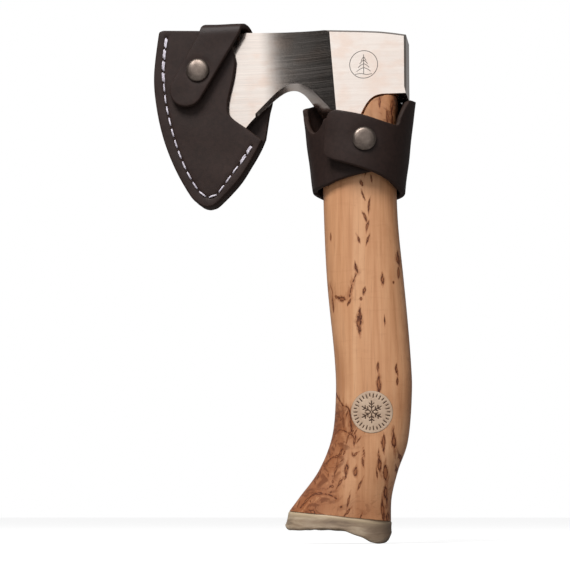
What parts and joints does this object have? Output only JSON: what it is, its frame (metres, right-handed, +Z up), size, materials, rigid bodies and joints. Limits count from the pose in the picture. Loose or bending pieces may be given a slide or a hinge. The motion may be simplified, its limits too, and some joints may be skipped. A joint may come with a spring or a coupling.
{
  "type": "belt hatchet with sheath and holder",
  "caption": "Small bearded hatchet with a curved birch handle and antler butt, its stitched leather blade sheath with a snap strap, and a wrapped leather belt holder.",
  "frame": {"origin": "under the middle of the whole set, on the level of the butt's lowest point", "axes": "+Z up along the handle to the head, the bit faces -X and the poll +X, the snapped faces of the leather face -Y"},
  "size_m": [0.1408, 0.0567, 0.2779],
  "materials": {
    "steel": "satin ground cheeks with fine lines along the blade",
    "birch": "oiled curly birch with dark flame flecks",
    "dark_wood": "oiled hardwood",
    "antler": null,
    "leather": "waxed black-brown vegetable-tanned leather, burnished edges",
    "thread": "waxed pale thread",
    "nickel": "antique nickel, worn and slightly mottled"
  },
  "bodies": {
    "axe": {"axe_head": "steel", "handle": "birch", "eye_wedge": "dark_wood", "cross_wedge": "nickel", "butt_cap": "antler", "butt_pin_front": "dark_wood", "butt_pin_back": "dark_wood", "medallion": "antler"},
    "sheath": {"sheath_front": "leather", "sheath_welt": "leather", "sheath_back": "leather", "front_stitching": "thread", "back_stitching": "thread", "strap_root": "leather", "strap_rivet_1_post": "nickel", "strap_rivet_1_cap": "nickel", "strap_rivet_2_post": "nickel", "strap_rivet_2_cap": "nickel", "sheath_snap_stud": "nickel", "sheath_snap_post": "nickel"},
    "strap": {"strap_flap": "leather", "strap_bend": "leather", "strap_snap_cap": "nickel", "strap_snap_socket": "nickel"},
    "holder": {"holder_wrap": "leather", "belt_loop": "leather", "belt_rivet_1_post": "nickel", "belt_rivet_1_cap": "nickel", "belt_rivet_2_post": "nickel", "belt_rivet_2_cap": "nickel", "holder_snap_stud": "nickel", "holder_snap_post": "nickel"},
    "holder_flap": {"holder_flap": "leather", "holder_snap_cap": "nickel", "holder_snap_socket": "nickel"}
  },
  "joints": [
    {"name": "sheath_slide", "type": "slide", "parent": "axe", "child": "sheath", "axis": [-0.5, 0, -0.866], "range_m": [0, 0.1]},
    {"name": "strap_hinge", "type": "hinge", "parent": "sheath", "child": "strap", "pos_m": [-0.032, 0.0067, 0.27115], "axis": [-1, 0, 0], "range_deg": [0, 165], "deforming": ["strap_bend"]},
    {"name": "holder_slide", "type": "slide", "parent": "axe", "child": "holder", "axis": [0.07, 0, -0.9975], "range_m": [0, 0.045]},
    {"name": "flap_hinge", "type": "hinge", "parent": "holder", "child": "holder_flap", "pos_m": [0.0586, -0.01892, 0.202], "axis": [0, -0.1012, 0.9949], "range_deg": [0, 75]}
  ]
}
